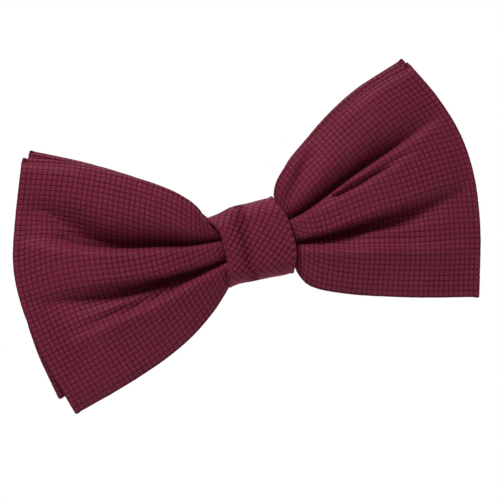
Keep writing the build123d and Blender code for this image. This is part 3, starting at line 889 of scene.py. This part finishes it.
def knot_layer(sheet):
    """A sheet inside the knot's cloth, open at the rear seam."""
    around, over = KNOT_SHEET_LINES
    loop_marks = np.linspace(sheet["seam"], 1 - sheet["seam"], around)
    across_marks = np.linspace(0, 1, over)
    outer = knot_face(sheet["gap"], sheet["trim"], loop_marks, across_marks)
    inner = knot_face(KNOT_WALL - sheet["gap"], sheet["trim"], loop_marks, across_marks)
    grid, marks = sleeve(outer, inner, across_marks, across_marks)
    return strip_mesh(grid, loop_marks, marks)


add_piece("knot_wrap_cloth", knot_mesh(), cloth, "bow", "bow_fabric", "knot_wrap")
add_piece("knot_lining", knot_layer(KNOT_LINING), interlining, "bow", "interlining", "knot_interlining")

# ---------------------------------------------------------------- threads


def in_mm(node):
    """A CAD node's box as two arrays in mm."""
    low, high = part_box(node)
    return np.array(low) / MM, np.array(high) / MM


def whip_stitches():
    """The slanting stitches that close the knot's seam at the back."""
    low, high = in_mm("knot_seam_stitches")
    count, radius, slant = 7, 0.2, math.radians(20)
    margin, overhang, sink = 0.45, 0.25, 0.95
    middle = (low + high) / 2
    reach = (high[2] - low[2]) / 2 + overhang
    share = np.linspace(-1, 1, 25)
    parts = []
    for x in np.linspace(low[0] + margin, high[0] - margin, count):
        y = (high[1] - radius) - sink * share ** 4
        path = np.stack([x + share * reach * math.tan(slant), y, middle[2] + share * reach], 1)
        parts.append(thread(path, radius))
    return join(parts)


def bar_stitches(node, count, radius, levels):
    """Rows of short bars along X, one row at each Y level, spread over a CAD node's height."""
    low, high = in_mm(node)
    wave, waves = 0.1, 3
    share = np.linspace(-1, 1, 21)
    parts = []
    for level in levels:
        for z in np.linspace(low[2] + radius, high[2] - radius, count):
            rise = z + wave * np.sin(share * waves)
            path = np.stack([share * (high[0] - radius), level + 0 * share, rise], 1)
            parts.append(thread(path, radius))
    return join(parts)


def binding_section(front, rear, half_height):
    """Points (y, z) once round the waist: a rectangle with round corners."""
    corner = 1.6
    back, fore, half = rear - corner, front + corner, half_height - corner
    points = []
    for y, z, start in ((back, half, 0), (fore, half, 90), (fore, -half, 180), (back, -half, 270)):
        for turn in np.radians(np.linspace(start, start + 90, 9)):
            points.append((y + corner * math.cos(turn), z + corner * math.sin(turn)))
    return along(np.array(points + points[:1]), 161)[:-1]


def binding(turns, layers, radius):
    """Thread wound to and fro round the pinched waist. It sinks into the cloth, and at the rear its layers
    fill the room before the clip's strip."""
    low, high = in_mm("waist_binding")
    low, high = low + radius, high - radius
    layer_step = 1.7 * radius
    strip_front = in_mm("clip_base")[0][1] - 1.1 * radius
    parts = []
    for layer_number in range(layers):
        sunk = layer_step * (layers - 1 - layer_number)
        rear = high[1] + (strip_front - high[1]) * layer_number / (layers - 1)
        loops = np.concatenate([binding_section(low[1] + sunk, rear, high[2] - sunk)] * turns)
        x = np.linspace(low[0], high[0], len(loops))
        x = x[::-1] if layer_number % 2 else x
        parts.append(thread(np.stack([x, loops[:, 0], loops[:, 1]], 1), radius))
    return join(parts)


def tack_loops(radius):
    """The two loops that tie the clip's strip to the bow through its sewing holes."""
    low, high = in_mm("clip_tack_stitches")
    middle, half = (low + high) / 2, (high - low) / 2 - radius
    flatness = 1.25
    turns = np.linspace(0, 2 * math.pi, 60)
    parts = []
    for x in (low[0] + radius, high[0] - radius):
        y = middle[1] + half[1] * np.clip(flatness * np.cos(turns), -1, 1)
        z = middle[2] + half[2] * np.clip(flatness * np.sin(turns), -1, 1)
        parts.append(thread(np.stack([x + 0 * y, y, z], 1), radius))
    return join(parts)


LOOP_SEAM_LEVELS = (-9.75, -4.95)    # Y of each tier's seam, in the thickness of its rear panel

loop_bars = bar_stitches("loop_seam_stitches", 5, 0.14, LOOP_SEAM_LEVELS)
THREADS = {
    "knot_whip_stitches": (whip_stitches(), "knot_seam_stitches"),
    "loop_bar_stitches": (loop_bars, "loop_seam_stitches"),
    "waist_thread": (binding(6, 3, 0.16), "waist_binding"),
    "tack_thread": (tack_loops(0.2), "clip_tack_stitches"),
}
for name, (sewn, node) in THREADS.items():
    add_piece(name, sewn, sewing_thread, "bow", "thread", node)

# ---------------------------------------------------------------- clip


def spring_mesh(node, pin_node):
    """A torsion spring: a coil round the pin with a leg on the strip and a leg under the finger tab."""
    low, high = in_mm(node)
    pin_low, pin_high = in_mm(pin_node)
    pivot = (pin_low + pin_high) / 2
    wire, pitch, leg, coil_turns = 0.3, 0.65, 5.8, 4.25
    side = np.sign(pivot[0])
    coil = max(abs(high[0]), abs(low[0])) - wire - abs(pivot[0])
    lower_tilt = math.asin((pivot[1] - coil - low[1] - wire) / leg)
    upper_tilt = math.asin((high[1] - wire - pivot[1] - coil) / leg)
    start, end = lower_tilt - math.pi / 2, coil_turns * 2 * math.pi - upper_tilt
    turn = np.linspace(start, end, 240)
    rise = (turn - (start + end) / 2) * pitch / (2 * math.pi)
    path = np.stack([abs(pivot[0]) + coil * np.cos(turn), pivot[1] + coil * np.sin(turn), rise], 1)
    steps = np.linspace(0, leg, 30)[1:, None]
    first = path[0] - steps[::-1] * unit(path[1] - path[0])
    last = path[-1] + steps * unit(path[-1] - path[-2])
    path = np.concatenate([first, path, last])
    mesh_parts = tube(path * np.array([side, 1, 1]), wire, 14)
    return mesh_parts, pivot, coil


for side in ("left", "right"):
    cad_spring = "torsion_spring_" + side
    spring, pivot, coil = spring_mesh(cad_spring, "hinge_pin_" + side)
    piece = add_piece("coil_spring_" + side, spring, spring_steel, None, "spring_steel", cad_spring)
    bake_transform(piece)
    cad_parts["clip_jaw_" + side].data.materials[0] = nickel
    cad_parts["hinge_pin_" + side].data.materials[0] = pin_steel
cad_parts["clip_base"].data.materials[0] = nickel

# ---------------------------------------------------------------- camera, light and floor

CAMERA_ROLL = math.radians(16)
CAMERA_DISTANCE = 900.0
FRAME_WIDTH = 127.1
AIM = (-1.72, -12.0, -1.59)
SENSOR = 36.0

camera_data = bpy.data.cameras.new("camera")
camera_data.sensor_width = SENSOR
camera_data.lens = SENSOR * CAMERA_DISTANCE / FRAME_WIDTH
camera_data.clip_end = 10
camera = bpy.data.objects.new("camera", camera_data)
bpy.context.scene.collection.objects.link(camera)
cosine, sine = math.cos(CAMERA_ROLL), math.sin(CAMERA_ROLL)
camera.matrix_world = Matrix((
    (cosine, sine, 0, AIM[0] * MM),
    (0, 0, -1, (AIM[1] - CAMERA_DISTANCE) * MM),
    (-sine, cosine, 0, AIM[2] * MM),
    (0, 0, 0, 1),
))
bpy.context.scene.camera = camera


def area_light(name, place, size, power):
    """A soft square light that looks at the bow."""
    data = bpy.data.lights.new(name, "AREA")
    data.size = size
    data.energy = power
    light = bpy.data.objects.new(name, data)
    bpy.context.scene.collection.objects.link(light)
    spot = Vector(place)
    light.location = spot
    light.rotation_mode = "QUATERNION"
    light.rotation_quaternion = (-spot).to_track_quat("-Z", "Y")


area_light("key", (-0.16, -0.42, 0.82), 0.3, 10.0)
area_light("fill", (0.5, -0.9, 0.1), 0.8, 1.2)
area_light("back", (0.35, 0.5, 0.7), 0.5, 6.0)

WORLD_LIGHT = 0.09         # what the white surroundings give to everything but the camera's own view

world = bpy.data.worlds.new("studio")
bpy.context.scene.world = world
world.use_nodes = True
sky = world.node_tree
seen = sky.nodes.new("ShaderNodeLightPath")
background = sky.nodes["Background"]
background.inputs["Color"].default_value = (1, 1, 1, 1)
put(sky, background.inputs["Strength"], ramp(sky, seen.outputs["Is Camera Ray"], 0.0, 1.0, WORLD_LIGHT, 1.0))
bpy.context.scene.view_settings.view_transform = "Standard"

FLOOR_HALF, FLOOR_DROP = 0.45, 0.16

floor_mesh = bpy.data.meshes.new("floor")
signs = ((-1, -1), (1, -1), (1, 1), (-1, 1))
floor_corners = [(x * FLOOR_HALF, y * FLOOR_HALF, -FLOOR_DROP) for x, y in signs]
floor_mesh.from_pydata(floor_corners, [], [(0, 1, 2, 3)])
floor_material, _, floor_base = shader("pale_floor")
floor_base.inputs["Base Color"].default_value = (0.86, 0.86, 0.86, 1)
floor_base.inputs["Roughness"].default_value = 0.9
floor_mesh.materials.append(floor_material)
floor = bpy.data.objects.new("floor", floor_mesh)
bpy.context.scene.collection.objects.link(floor)
